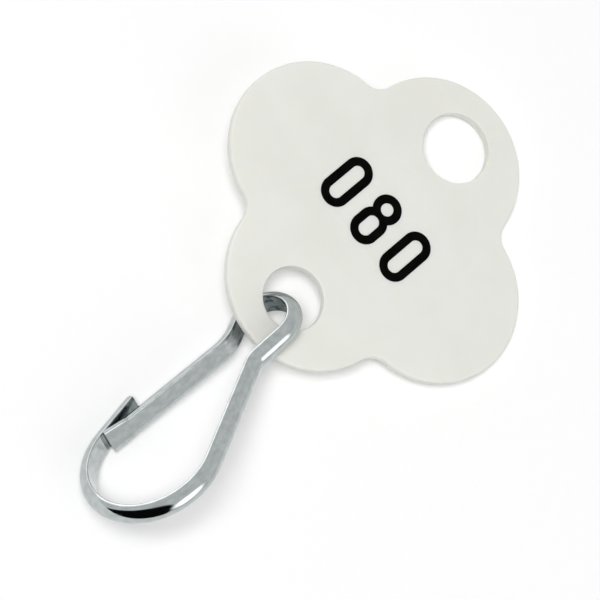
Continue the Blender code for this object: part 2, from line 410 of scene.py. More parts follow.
@dataclass(frozen=True)
class WhitePaper:
    """Matt white paper, lit a little through its back.

    Attributes:
        light: Colour of its lighter fibres.
        dark: Colour of its darker fibres.
        glow: Light that comes through it.
    """

    light: Colour = (0.93, 0.93, 0.93)
    dark: Colour = (0.90, 0.90, 0.90)
    glow: float = 0.09

    def material(self) -> Material:
        """Build the finish.

        Returns:
            The material.
        """
        bench = FinishBench("white_paper")
        fibre = bench.noise(bench.place("Object"), scale=900.0, detail=3.0)
        bench.surface(
            Base_Color=bench.tint(fibre, (0.0, self.dark), (1.0, self.light)),
            Roughness=0.9,
            Specular_IOR_Level=0.1,
            Emission_Color=(*WHITE, 1.0),
            Emission_Strength=self.glow,
        )
        return bench.material


# Outlines and meshes


def arc(
    centre: Vector, radius: float, start: float, end: float, step: float = 0.05, count: int = 0
) -> Ring:
    """Points on an arc, both ends included.

    Args:
        centre: The arc's centre.
        radius: Its radius.
        start: Angle of the first point.
        end: Angle of the last point.
        step: Largest angle between two points.
        count: Spaces between points, or 0 to follow the step.

    Returns:
        The points in order.
    """
    count = count or max(2, math.ceil(abs(end - start) / step))
    angles = [start + (end - start) * index / count for index in range(count + 1)]
    return [centre + radius * Vector((math.cos(angle), math.sin(angle))) for angle in angles]


def circle(centre: Vector, radius: float) -> Ring:
    """Points round a circle, the first one not repeated."""
    return arc(centre, radius, 0.0, 4 * QUARTER)[:-1]


def slot(centre: Vector, width: float, height: float) -> Ring:
    """An upright outline with half-round ends.

    Args:
        centre: Its middle.
        width: Its width.
        height: Its height over both ends.

    Returns:
        The closed ring of points.
    """
    radius = width / 2
    rise = Vector((0.0, height / 2 - radius))
    top = arc(centre + rise, radius, 0.0, 2 * QUARTER)
    return top + arc(centre - rise, radius, 2 * QUARTER, 4 * QUARTER)


def stack(work: bmesh.types.BMesh, rings: Sequence[tuple[Ring, float]]) -> list[VertexRing]:
    """Stack closed rings of equal length, with a band of faces between neighbours.

    Args:
        work: The mesh that is added to.
        rings: Each a ring of points and its height.

    Returns:
        The rings of vertices, in the same order.
    """
    rows = []
    for ring, height in rings:
        rows.append([work.verts.new((point.x, point.y, height)) for point in ring])
    for low, high in zip(rows[:-1], rows[1:]):
        for index, vertex in enumerate(low):
            following = (index + 1) % len(low)
            work.faces.new((vertex, low[following], high[following], high[index]))
    return rows


def ring_edges(work: bmesh.types.BMesh, ring: VertexRing) -> list[bmesh.types.BMEdge]:
    """The edges round a closed ring of vertices, made where they are missing.

    Args:
        work: The mesh that is added to.
        ring: The vertices in order.

    Returns:
        The edges in order.
    """
    edges = []
    for index, vertex in enumerate(ring):
        pair = (vertex, ring[(index + 1) % len(ring)])
        edges.append(work.edges.get(pair) or work.edges.new(pair))
    return edges


def fill_between(work: bmesh.types.BMesh, rings: Sequence[VertexRing]) -> None:
    """Fill the flat face between an outer ring and the rings inside it."""
    edges = [edge for ring in rings for edge in ring_edges(work, ring)]
    bmesh.ops.triangle_fill(work, use_beauty=True, use_dissolve=False, edges=edges)


def dressed(
    work: bmesh.types.BMesh, name: str, matrix: Matrix, finish: Material
) -> bpy.types.Object:
    """Turn a bmesh in millimetres into a shaded object in the model's frame.

    Args:
        work: The mesh in millimetres.  It is freed.
        name: Name for the object and its mesh.
        matrix: Where its frame stands in the model, in metres.
        finish: The material it wears.

    Returns:
        The object, at the origin with its place in its mesh.
    """
    bmesh.ops.recalc_face_normals(work, faces=work.faces)
    mesh = bpy.data.meshes.new(name)
    work.to_mesh(mesh)
    work.free()
    mesh.transform(matrix @ Matrix.Scale(MM, 4))
    mesh.shade_smooth()
    mesh.set_sharp_from_angle(angle=SHARP_ANGLE)
    mesh.materials.append(finish)
    piece = bpy.data.objects.new(name, mesh)
    bpy.context.scene.collection.objects.link(piece)
    weighted = piece.modifiers.new("even_shading", "WEIGHTED_NORMAL")
    weighted.keep_sharp = True
    weighted.weight = 90
    return piece


@dataclass
class EdgeRound:
    """A rounded edge between a flat face and a wall.

    Attributes:
        radius: Radius of the rounding, in millimetres.
        steps: Bands across it.
    """

    radius: float
    steps: int

    def from_wall(self) -> list[Pair]:
        """Follow the rounding from the wall to the face.

        Returns:
            Pairs of an inset from the wall and a depth below the face.
        """
        stations = []
        for index in range(self.steps + 1):
            angle = QUARTER * index / self.steps
            inset = self.radius * (1 - math.cos(angle))
            stations.append((inset, self.radius * (1 - math.sin(angle))))
        return stations


# The plate


@dataclass
class NumberPlate:
    """The four-lobed plastic plate with its two holes and its filled number.

    All sizes are in millimetres.  Its frame has its origin at the plate's middle, +X
    and +Y towards neighbouring notches and +Z out of the numbered face.

    Attributes:
        width: Across two neighbouring lobes.
        hang_hole_rim: Plastic left between the hanging hole and its lobe's edge.
        hook_hole_rim: Plastic left between the hook's hole and its lobe's edge.
        digit_pitch: From one figure's middle to the next.
        digit_turn: Turn of the number from square to the holes' line, in degrees.
        digit_row_offset: Where the number's middle stands, along and across its row.
        eight_top_width: Outer width of the 8's upper ring.
        eight_top_height: Outer height of the 8's upper ring.
        eight_crossing: How far the 8's two rings run into each other.
        eight_arc_spaces: Steps along each of the arcs beside the 8's waist.
        groove_draft: How far the engraving's walls lean in towards its floor.
        fill_seat: How far the enamel's underside stays above the engraving's floor.
        fill_foot: How far the enamel's foot stays inside the engraving's edge.
        fill_recess: How far the enamel lies below the face.
        meniscus: The enamel's edge, as pairs of an inset and a depth below its crown.
        edge_shade: How much of the painted wall shade the outer edge shows.
        hole_shade: How much of it the holes' walls show.
    """

    width: float = 38.0
    lobe_radius: float = 11.2
    notch_radius: float = 2.7
    thickness: float = 1.3
    hang_hole_radius: float = 4.4
    hang_hole_rim: float = 3.13
    hook_hole_radius: float = 3.9
    hook_hole_rim: float = 3.48
    number: Sequence[Figure] = (Figure.ZERO, Figure.EIGHT, Figure.ZERO)
    digit_height: float = 7.75
    digit_width: float = 3.9
    digit_stroke: float = 1.1
    digit_pitch: float = 5.7
    digit_turn: float = -2.3
    digit_row_offset: Pair = (-0.25, 0.15)
    eight_top_width: float = 3.8
    eight_top_height: float = 3.85
    eight_crossing: float = 1.3
    eight_arc_spaces: int = 18
    engraving_depth: float = 0.45
    groove_draft: float = 0.06
    fill_seat: float = 0.05
    fill_foot: float = 0.07
    fill_recess: float = 0.035
    meniscus: Sequence[Pair] = ((-0.01, 0.03), (0.0, 0.012), (0.09, 0.0), (0.28, 0.006))
    edge_shade: float = 0.2
    hole_shade: float = 1.0
    rim: EdgeRound = field(default_factory=lambda: EdgeRound(0.32, 6))
    hole_rim: EdgeRound = field(default_factory=lambda: EdgeRound(0.16, 4))
    groove_lip: EdgeRound = field(default_factory=lambda: EdgeRound(0.05, 3))

    @property
    def lobe_centre(self) -> float:
        """A lobe's centre along each axis."""
        return self.width / 2 - self.lobe_radius

    @property
    def lobe_edge(self) -> float:
        """How far the lobes reach from the middle along the holes' line."""
        return math.sqrt(2) * self.lobe_centre + self.lobe_radius

    def on_holes_line(self, distance: float) -> Vector:
        """A point on the line through both holes."""
        return distance * Vector((math.cos(DIAGONAL), math.sin(DIAGONAL)))

    @property
    def hook_hole_centre(self) -> Vector:
        """Centre of the hook's hole."""
        return self.on_holes_line(self.hook_hole_rim + self.hook_hole_radius - self.lobe_edge)

    @property
    def hang_hole_centre(self) -> Vector:
        """Centre of the hanging hole."""
        return self.on_holes_line(self.lobe_edge - self.hang_hole_rim - self.hang_hole_radius)

    def outline(self, inset: float) -> Ring:
        """The plate's edge, drawn in by an inset.

        Args:
            inset: How far inside the true edge it runs.

        Returns:
            The closed ring of points.
        """
        centre = self.lobe_centre
        reach = self.lobe_radius + self.notch_radius
        height = centre + math.sqrt(reach**2 - centre**2)
        meet = math.atan2(height - centre, -centre)
        lobe = arc(Vector((centre, centre)), self.lobe_radius - inset, QUARTER - meet, meet)
        notch_centre = Vector((0.0, height))
        notch = arc(notch_centre, self.notch_radius + inset, meet - 2 * QUARTER, -meet)
        ring = []
        for turn in range(4):
            turned = Matrix.Rotation(turn * QUARTER, 2)
            ring += [turned @ point for point in lobe + notch[1:-1]]
        return ring

    def eight_edge(self, inset: float) -> Ring:
        """Outer edge of the 8: a round top on a longer bowl, with a waist between.

        Args:
            inset: How far inside the true edge it runs.

        Returns:
            The closed ring of points, about the figure's middle.
        """
        top_radius = self.eight_top_width / 2 - inset
        low_radius = self.digit_width / 2 - inset
        top_foot = self.digit_height / 2 - self.eight_top_height
        top = Vector((0.0, top_foot + self.eight_top_width / 2))
        low = Vector((0.0, top_foot + self.eight_crossing - self.digit_width / 2))
        gap = top.y - low.y
        height = (low_radius**2 - top_radius**2 + gap**2) / (2 * gap)
        waist = math.sqrt(low_radius**2 - height**2)
        low_meet = math.atan2(height, waist)
        top_meet = math.atan2(height - gap, waist)
        crown = Vector((0.0, self.digit_height / 2 - self.eight_top_width / 2))
        foot = Vector((0.0, -self.digit_height / 2 + self.digit_width / 2))
        spaces = self.eight_arc_spaces
        ring = arc(top, top_radius, top_meet, 0.0, count=spaces)
        ring += arc(crown, top_radius, 0.0, 2 * QUARTER)
        ring += arc(top, top_radius, 2 * QUARTER, 2 * QUARTER - top_meet, count=spaces)[:-1]
        ring += arc(low, low_radius, 2 * QUARTER - low_meet, 2 * QUARTER, count=spaces)
        ring += arc(foot, low_radius, 2 * QUARTER, 4 * QUARTER)
        ring += arc(low, low_radius, 0.0, low_meet, count=spaces)[:-1]
        return ring

    def figure_rings(self, figure: Figure, inset: float) -> list[Ring]:
        """Outlines of a figure's stroke: its outer edge, then its counters.

        Args:
            figure: Which figure.
            inset: How much thinner the stroke is drawn on each side.

        Returns:
            The closed rings, about the figure's middle.
        """
        shrink = 2 * (self.digit_stroke - inset)
        if figure is Figure.ZERO:
            sizes = [(0.0, self.digit_width, self.digit_height)]
            width = self.digit_width - 2 * inset
            outer = slot(Vector((0.0, 0.0)), width, self.digit_height - 2 * inset)
        else:
            low_height = self.digit_height - self.eight_top_height + self.eight_crossing
            top_rise = (self.digit_height - self.eight_top_height) / 2
            sizes = [(top_rise, self.eight_top_width, self.eight_top_height)]
            sizes.append(((low_height - self.digit_height) / 2, self.digit_width, low_height))
            outer = self.eight_edge(inset)
        rings = [outer]
        for rise, width, height in sizes:
            rings.append(slot(Vector((0.0, rise)), width - shrink, height - shrink))
        return rings

    def figure_places(self) -> list[tuple[Matrix, Figure]]:
        """Each figure's flat frame on the plate's face.

        Returns:
            Pairs of a matrix, +X as the row reads, and its figure.
        """
        row = Matrix.Rotation(-DIAGONAL, 4, "Z") @ Matrix.Translation((*self.digit_row_offset, 0.0))
        turn = Matrix.Rotation(math.radians(self.digit_turn), 4, "Z")
        places = []
        for index, figure in enumerate(self.number):
            step = Matrix.Translation(((index - 1) * self.digit_pitch, 0.0, 0.0))
            places.append((row @ turn @ step, figure))
        return places

    @staticmethod
    def moved(ring: Ring, place: Matrix) -> Ring:
        """A flat ring carried into another flat frame."""
        return [(place @ point.to_3d()).to_2d() for point in ring]

    def add_wall(
        self,
        work: bmesh.types.BMesh,
        ring_at: Callable[[float], Ring],
        edge: EdgeRound,
        wall_shade: float,
    ) -> tuple[VertexRing, VertexRing]:
        """Build a wall through the plate with a rounded edge at both faces.

        Args:
            work: The mesh that is added to.
            ring_at: Gives the wall's outline at an inset into the material.
            edge: The rounding at both ends.
            wall_shade: How much of the painted wall shade it shows.

        Returns:
            The rings of vertices at the front and at the back face.
        """
        wall = work.verts.layers.float["wall"]
        half = self.thickness / 2
        stations = edge.from_wall()
        rings = [(ring_at(inset), depth - half) for inset, depth in reversed(stations)]
        rows = stack(work, rings + [(ring_at(inset), half - depth) for inset, depth in stations])
        for row in rows[1:-1]:
            for vertex in row:
                vertex[wall] = wall_shade
        return rows[-1], rows[0]

    def figure_walls(
        self, work: bmesh.types.BMesh, place: Matrix, figure: Figure, profile: Sequence[Pair]
    ) -> list[list[VertexRing]]:
        """Build the walls along a figure's stroke: outer edge, then counters.

        Args:
            work: The mesh that is added to.
            place: The figure's frame.
            figure: Which figure.
            profile: The wall's line, as pairs of an inset and a height.

        Returns:
            Each wall's rings of vertices, in the profile's order.
        """
        levels = [(self.figure_rings(figure, inset), height) for inset, height in profile]
        walls = []
        for index in range(len(levels[0][0])):
            stacked = [(self.moved(rings[index], place), height) for rings, height in levels]
            walls.append(stack(work, stacked))
        return walls

    def add_groove(
        self, work: bmesh.types.BMesh, place: Matrix, figure: Figure
    ) -> list[VertexRing]:
        """Build one engraved figure: soft lips, walls and floor.

        Args:
            work: The mesh that is added to.
            place: The figure's frame.
            figure: Which figure.

        Returns:
            The rings of vertices at the face: outer edge, then counters.
        """
        face = self.thickness / 2
        lip = reversed(self.groove_lip.from_wall())
        profile = [(-inset, face - depth) for inset, depth in lip]
        profile.append((self.groove_draft, face - self.engraving_depth))
        walls = self.figure_walls(work, place, figure, profile)
        fill_between(work, [rows[-1] for rows in walls])
        return [rows[0] for rows in walls]

    def build_plate(self, matrix: Matrix, finish: Material) -> bpy.types.Object:
        """Build the moulded plate.

        Args:
            matrix: The plate's frame in the model.
            finish: The plastic.

        Returns:
            The plate.
        """
        work = bmesh.new()
        work.verts.layers.float.new("wall")
        walls = [self.add_wall(work, self.outline, self.rim, self.edge_shade)]
        for centre, radius in (
            (self.hang_hole_centre, self.hang_hole_radius),
            (self.hook_hole_centre, self.hook_hole_radius),
        ):
            walls.append(
                self.add_wall(
                    work,
                    lambda inset: circle(centre, radius + inset),
                    self.hole_rim,
                    self.hole_shade,
                )
            )
        fronts = [front for front, _ in walls]
        for place, figure in self.figure_places():
            outer, *counters = self.add_groove(work, place, figure)
            fronts.append(outer)
            for counter in counters:
                fill_between(work, [counter])
        fill_between(work, fronts)
        fill_between(work, [back for _, back in walls])
        return dressed(work, "moulded_plate", matrix, finish)

    def build_fill(
        self, name: str, place: Matrix, figure: Figure, finish: Material
    ) -> bpy.types.Object:
        """Build the enamel in one figure, with a meniscus at its edges.

        Args:
            name: The piece's name.
            place: The figure's frame in the model, on the plate's face.
            figure: Which figure.
            finish: The enamel.

        Returns:
            The filled figure.
        """
        work = bmesh.new()
        profile = [(self.fill_foot, self.fill_seat - self.engraving_depth)]
        profile += [(inset, -self.fill_recess - depth) for inset, depth in self.meniscus]
        walls = self.figure_walls(work, Matrix.Identity(4), figure, profile)
        for level in (-1, 0):
            fill_between(work, [rows[level] for rows in walls])
        return dressed(work, name, place, finish)

    def build(self, matrix: Matrix, plastic: Material, enamel: Material) -> None:
        """Build the plate and its fills, and set them on the plate's body.

        Args:
            matrix: The plate's frame in the model.
            plastic: The plate's finish.
            enamel: The number's finish.
        """
        plate = self.build_plate(matrix, plastic)
        settle(plate, "plate", "tag_plate")
        names = ("first_digit", "middle_digit", "last_digit")
        to_face = Matrix.Translation((0.0, 0.0, self.thickness / 2 * MM))
        for name, (place, figure) in zip(names, self.figure_places()):
            in_metres = place.copy()
            in_metres.translation *= MM
            fill = self.build_fill(f"{name}_enamel", matrix @ to_face @ in_metres, figure, enamel)
            settle(fill, "plate", f"{name}_fill")


# The hook


@dataclass
class Roller:
    """A round former that the strip is bent round, or a plain point.

    Attributes:
        centre: Its centre in the hook's plane.
        radius: Its radius, 0 for a point.
        turn: Which way the strip bends round it.
    """

    centre: Vector
    radius: float = 0.0
    turn: Turn = Turn.LEFT

    def tangent_to(self, other: "Roller") -> tuple[Vector, Vector]:
        """The strip's straight run from this roller to another.

        Args:
            other: The roller that it runs to.

        Returns:
            Where it leaves this roller and where it meets the other.
        """
        reach = other.centre - self.centre
        along = reach.normalized()
        left = Vector((-along.y, along.x))
        from_side = self.turn.value * self.radius
        to_side = other.turn.value * other.radius
        sine = (to_side - from_side) / reach.length
        normal = sine * along + math.sqrt(1 - sine * sine) * left
        return self.centre - from_side * normal, other.centre - to_side * normal

    def bend(self, start: Vector, end: Vector, step: float = 0.07) -> Ring:
        """The arc round this roller between two tangent points.

        Args:
            start: Where the strip meets the roller.
            end: Where the strip leaves it.
            step: Largest angle between two points.

        Returns:
            The arc's points, both ends included.
        """
        begin = math.atan2(start.y - self.centre.y, start.x - self.centre.x)
        finish = math.atan2(end.y - self.centre.y, end.x - self.centre.x)
        sweep = ((finish - begin) * self.turn.value) % (4 * QUARTER)
        return arc(self.centre, self.radius, begin, begin + self.turn.value * sweep, step)


@dataclass
class Strip:
    """Half-round strip, flat inside and crowned outside, that a hook is bent from.

    Attributes:
        width: Across its flat side, in millimetres.
        thickness: From its flat side to its crown.
        corner: Radius of the two corners beside the flat side.
        crown_spaces: Steps across the crown.
        corner_spaces: Steps round each corner.
        flat_spaces: Steps across the flat side.
    """

    width: float = 2.79
    thickness: float = 1.485
    corner: float = 0.16
    crown_spaces: int = 22
    corner_spaces: int = 5
    flat_spaces: int = 8

    def section(self) -> list[Pair]:
        """The section's outline.

        Returns:
            Points (across, outward) from one flat corner over the crown to the other,
            then back along the flat.
        """
        half = self.width / 2 - self.corner
        outline = []
        for index in range(self.crown_spaces + 1):
            # Half an ellipse, its two feet lifted to the tops of the corners.
            angle = 2 * QUARTER * index / self.crown_spaces
            lifted = self.corner * math.cos(angle) ** 4
            outward = math.hypot(self.thickness * math.sin(angle), lifted)
            outline.append((-math.cos(angle) * self.width / 2, outward))
        corner = []
        for index in range(1, self.corner_spaces):
            angle = QUARTER * index / self.corner_spaces
            beyond = self.corner * math.cos(angle)
            corner.append((half + beyond, self.corner * (1 - math.sin(angle))))
        outline += corner
        for index in range(self.flat_spaces + 1):
            outline.append((half * (1 - 2 * index / self.flat_spaces), 0.0))
        return outline + [(-across, outward) for across, outward in reversed(corner)]

    def sweep(
        self,
        path: Sequence[Vector],
        shape: Callable[[float, float, float, float], Pair],
        worn_and_shaded: Callable[[Vector, float], float],
    ) -> bmesh.types.BMesh:
        """Run the section along a path in the hook's plane.

        Args:
            path: Points of the strip's flat inner face, in order.
            shape: Gives a section point's (across, outward) from its own values, the
                length run so far and the whole length.
            worn_and_shaded: Gives wear and painted shade, 0 to 1, at a path point and outward distance.

        Returns:
            The closed mesh, with a UV of millimetres along and round the strip and
            the wear and painted shade in its attribute "rub".
        """
        work = bmesh.new()
        coords = work.loops.layers.uv.new("strip")
        wear_shade = work.verts.layers.float.new("wear_shade")
        section = self.section()
        lengths = [0.0]
        for before, after in zip(path[:-1], path[1:]):
            lengths.append(lengths[-1] + (after - before).length)
        around = [0.0]
        for (x0, y0), (x1, y1) in zip(section, section[1:] + section[:1]):
            around.append(around[-1] + math.hypot(x1 - x0, y1 - y0))
        rows = []
        for index, point in enumerate(path):
            before = path[max(index - 1, 0)]
            after = path[min(index + 1, len(path) - 1)]
            along = (after - before).normalized()
            outside = Vector((along.y, -along.x))
            row = []
            for across, outward in section:
                across, outward = shape(across, outward, lengths[index], lengths[-1])
                place = point + outside * outward
                row.append(work.verts.new((place.x, place.y, across)))
                # The plating's wear and painted shade weight at this vertex.
                row[-1][wear_shade] = worn_and_shaded(point, outward)
            rows.append(row)
        for index, (low, high) in enumerate(zip(rows[:-1], rows[1:])):
            start, end = lengths[index], lengths[index + 1]
            for side in range(len(section)):
                following = (side + 1) % len(section)
                face = work.faces.new((low[side], high[side], high[following], low[following]))
                near, far = around[side], around[side + 1]
                places = ((start, near), (end, near), (end, far), (start, far))
                for loop, place in zip(face.loops, places):
                    loop[coords].uv = place
        for row in (rows[0], rows[-1]):
            work.faces.new(row)
        return work


@dataclass
class SnapHook:
    """The one-piece snap hook, in two pieces that meet at its waist.

    All sizes are in millimetres.  Its frame has its origin at the middle of the wide
    bend, +Y towards the eye, +X from the gate to the front leg and +Z out of the front.
    The strip's lines are those of its flat inner face.

    Attributes:
        bend_shift: How far the wide bend's centre stands to the gate's side.
        waist_half_gap: From the middle line to each leg at its waist.
        tip_length: How far the tip's end stands above the wide bend's centre.
        tip_wear: Length of the tip's worn end.
        tip_narrowing, tip_thinning: Shares of width and thickness that it loses.
        gate_overlap: How far the gate reaches past the tip's end.
        gate_end_taper: How much thicker the pressed end may be, per mm from its end.
        coined_length: Length of the gate's pressed end.
        coined_spread: How many times wider it is at its end.
        coined_step: Share of that widening that comes at the crease.
        coined_thinning: Share of the thickness that pressing takes.
        coined_turn: Turn of the pressed end towards the tip, in radians.
        flex_length: Length of the gate that bends when it is pushed in.
        wear_shade_fade: How far from the eye the wear and its painted shade fade out.
        wear_shade_depth: How far outside the flat face the wear and its painted shade reach.
        tip_wear_shade: How dull the tip's flat face is worn, darkened by painted shade in the gate's gap.
        tip_wear_shade_start: Where that starts above the wide bend's centre.
        edge_play: How far the eye's flat face stands off the lobe's edge.
        swing: Turn of the hook out of the holes' line at rest, in degrees.
    """

    strip: Strip = field(default_factory=Strip)
    bend_radius: float = 7.5
    bend_shift: float = 0.25
    eye_radius: float = 3.1
    eye_from_bend: float = 22.0
    waist_half_gap: float = 2.15
    front_waist_from_bend: float = 16.8
    front_waist_radius: float = 3.0
    gate_waist_from_bend: float = 17.65
    gate_waist_radius: float = 6.5
    tip_length: float = 5.95
    tip_wear: float = 0.5
    tip_narrowing: float = 0.02
    tip_thinning: float = 0.06
    gate_overlap: float = 6.1
    gate_end_thickness: float = 0.85
    gate_tip_gap: float = 0.05
    gate_end_taper: float = 0.27
    coined_length: float = 3.3
    coined_spread: float = 1.3
    coined_step: float = 0.2
    coined_thinning: float = 0.06
    coined_turn: float = 0.075
    crease_length: float = 0.35
    crease_depth: float = 0.05
    flex_length: float = 5.0
    wear_shade_fade: float = 2.2
    wear_shade_depth: float = 0.05
    tip_wear_shade: float = 0.8
    tip_wear_shade_start: float = 0.55
    edge_play: float = 0.36
    swing: float = 7.5

    @property
    def tip_inner_x(self) -> float:
        """Where the tip's flat face stands across the hook."""
        return -self.bend_shift - self.bend_radius

    def rollers(self) -> list[Roller]:
        """The rollers that bend the strip.

        Returns:
            The rollers from the tip to the gate's end, each end a plain point.
        """
        gate_end_x = self.tip_inner_x + self.gate_tip_gap + self.gate_end_thickness
        front_x = self.waist_half_gap + self.front_waist_radius
        gate_x = -self.waist_half_gap - self.gate_waist_radius
        front_waist = Vector((front_x, self.front_waist_from_bend))
        gate_waist = Vector((gate_x, self.gate_waist_from_bend))
        return [
            Roller(Vector((self.tip_inner_x, self.tip_length))),
            Roller(Vector((-self.bend_shift, 0.0)), self.bend_radius),
            Roller(front_waist, self.front_waist_radius, Turn.RIGHT),
            Roller(Vector((0.0, self.eye_from_bend)), self.eye_radius),
            Roller(gate_waist, self.gate_waist_radius, Turn.RIGHT),
            Roller(Vector((gate_end_x, self.tip_length - self.gate_overlap))),
        ]

    @staticmethod
    def run(start: Vector, end: Vector, step: float = 0.4) -> Ring:
        """Points along a straight run, both ends included."""
        count = max(1, round((end - start).length / step))
        return [start.lerp(end, index / count) for index in range(count + 1)]

    def paths(self) -> tuple[Ring, Ring]:
        """The flat inner face's line.

        Returns:
            The body's line, from the tip to the end of the gate's waist, and the
            gate's line, from there to its end.
        """
        rollers = self.rollers()
        runs = [a.tangent_to(b) for a, b in zip(rollers[:-1], rollers[1:])]
        body = self.run(*runs[0])
        for roller, before, after in zip(rollers[1:-1], runs[:-1], runs[1:]):
            body += roller.bend(before[1], after[0])[1:]
            if after is not runs[-1]:
                body += self.run(*after)[1:]
        return body, self.run(*runs[-1], step=0.2)

    def plain(self, across: float, outward: float, run: float, whole: float) -> Pair:
        """Shape the body's section: the strip's own, a little worn at the cut tip.

        Args:
            across: A section point's distance across the strip.
            outward: Its distance from the flat face.
            run: Length of the strip so far.
            whole: Whole length of the strip, not used here.

        Returns:
            The point's shaped distances across and outward.
        """
        worn = max(0.0, 1.0 - run / self.tip_wear) ** 2
        return across * (1 - self.tip_narrowing * worn), outward * (1 - self.tip_thinning * worn)

    def coined(self, across: float, outward: float, run: float, whole: float) -> Pair:
        """Shape the gate's section: its end is turned to the tip, pressed flat and spread.

        Args:
            across: A section point's distance across the strip.
            outward: Its distance from the flat face.
            run: Length of the strip so far.
            whole: Whole length of the strip.

        Returns:
            The point's shaped distances across and outward.
        """
        left = whole - run
        beyond = max(0.0, self.coined_length - left)
        pressed = min(1.0, beyond / self.crease_length)
        widened = self.coined_step * pressed + (1 - self.coined_step) * beyond / self.coined_length
        spread = 1 + (self.coined_spread - 1) * widened
        from_crease = (left - self.coined_length) / (self.crease_length / 2)
        crease = self.crease_depth * math.exp(-(from_crease**2))
        room = self.gate_end_thickness + self.gate_end_taper * left
        flat = beyond * self.coined_turn + crease
        thick = min(outward * (1 - self.coined_thinning * pressed), room - flat)
        return across * spread * (1 - crease), flat + max(thick, 0.0)

    def worn_and_shaded(self, point: Vector, outward: float) -> float:
        """How dull the strip is worn, and how dark its painted shade is.

        Args:
            point: A point of its path.
            outward: How far outside its flat face.

        Returns:
            1 on the flat inside of the eye, where the plate's rim rubs it and shade is painted,
            less on the tip's flat face, where the gate rubs it and shade is painted, and 0 away from both.
        """
        if outward > self.wear_shade_depth:
            return 0.0
        on_tip = abs(point.x - self.tip_inner_x) < self.wear_shade_depth
        if on_tip and point.y > self.tip_wear_shade_start:
            return self.tip_wear_shade
        away = (point - Vector((0.0, self.eye_from_bend))).length - self.eye_radius
        return max(0.0, 1.0 - away / self.wear_shade_fade)

    def matrix(self, plate: NumberPlate, flex_axis: Vector, plate_matrix: Matrix) -> Matrix:
        """The hook's frame in the model.

        Args:
            plate: The plate that it hangs in.
            flex_axis: Direction of the gate's flex axis, which is the hook's +Z.
            plate_matrix: The plate's frame in the model.

        Returns:
            The hook's frame.
        """
        eye = plate.on_holes_line(self.eye_radius - self.edge_play - plate.lobe_edge).to_3d() * MM
        heading = DIAGONAL + math.radians(self.swing)
        along = plate_matrix.to_3x3() @ Vector((math.cos(heading), math.sin(heading), 0.0))
        front = (flex_axis - along * flex_axis.dot(along)).normalized()
        turned = Matrix((along.cross(front), along, front)).transposed().to_4x4()
        back = Matrix.Translation((0.0, -self.eye_from_bend * MM, 0.0))
        return Matrix.Translation(plate_matrix @ eye) @ turned @ back

    def build(self, matrix: Matrix, finish: Material) -> None:
        """Build the hook's body and its gate and set them on their bodies.

        Args:
            matrix: The hook's frame in the model.
            finish: The plating.
        """
        body_path, gate_path = self.paths()
        body_mesh = self.strip.sweep(body_path, self.plain, self.worn_and_shaded)
        body = dressed(body_mesh, "hook_strip", matrix, finish)
        settle(body, "hook", "hook_body")
        gate_mesh = self.strip.sweep(gate_path, self.coined, self.worn_and_shaded)
        gate = dressed(gate_mesh, "gate_strip", matrix, finish)
        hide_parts("gate_arm")
        waist = gate_path[0]
        along = (gate_path[-1] - waist).normalized()
        start = matrix @ (waist.to_3d() * MM)
        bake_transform(gate, "hook", "gate", start, matrix @ ((waist + along * self.flex_length).to_3d() * MM))
        LOG.info("gate_strip bends between hook and gate")


def settle(piece: bpy.types.Object, body: str, node: str) -> None:
    """Set a finished piece on its body in place of a plain node.

    Args:
        piece: The finished piece.
        body: The body that it rides on.
        node: The plain node that it stands for.
    """
    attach(piece, body)
    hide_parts(node)
    LOG.info("%s rides on %s", piece.name, body)


# The room


@dataclass(frozen=True)
class Softbox:
    """A square soft light that points at the object and leaves no reflection of its own.

    Attributes:
        name: Its name.
        place: Where it stands, in metres.
        width: Its width, in metres.
        power: Its power, in watts.
    """

    name: str
    place: tuple[float, float, float]
    width: float
    power: float

    def build(self) -> None:
        """Hang the light and turn it towards the object."""
        lamp = bpy.data.lights.new(self.name, "AREA")
        lamp.shape = "SQUARE"
        lamp.size = self.width
        lamp.energy = self.power
        holder = bpy.data.objects.new(self.name, lamp)
        holder.location = self.place
        holder.rotation_mode = "QUATERNION"
        holder.rotation_quaternion = Vector(self.place).to_track_quat("Z", "Y")
        holder.visible_glossy = False
        bpy.context.scene.collection.objects.link(holder)


@dataclass(frozen=True)
class SkyPatch:
    """A round patch of the surroundings, brighter or darker than the tent.

    Attributes:
        azimuth: Direction of its middle round the floor, in degrees from +X.
        elevation: Height of its middle above the floor, in degrees.
        inner: Angle round the middle that it fills, in degrees.
        outer: Angle at which it has faded into what is behind it.
        radiance: Its brightness.
    """

    azimuth: float
    elevation: float
    inner: float
    outer: float
    radiance: float

    def towards(self) -> Vector:
        """The direction of its middle.

        Returns:
            A vector of length 1.
        """
        around = math.radians(self.azimuth)
        above = math.radians(self.elevation)
        flat = math.cos(above)
        return Vector((flat * math.cos(around), flat * math.sin(around), math.sin(above)))


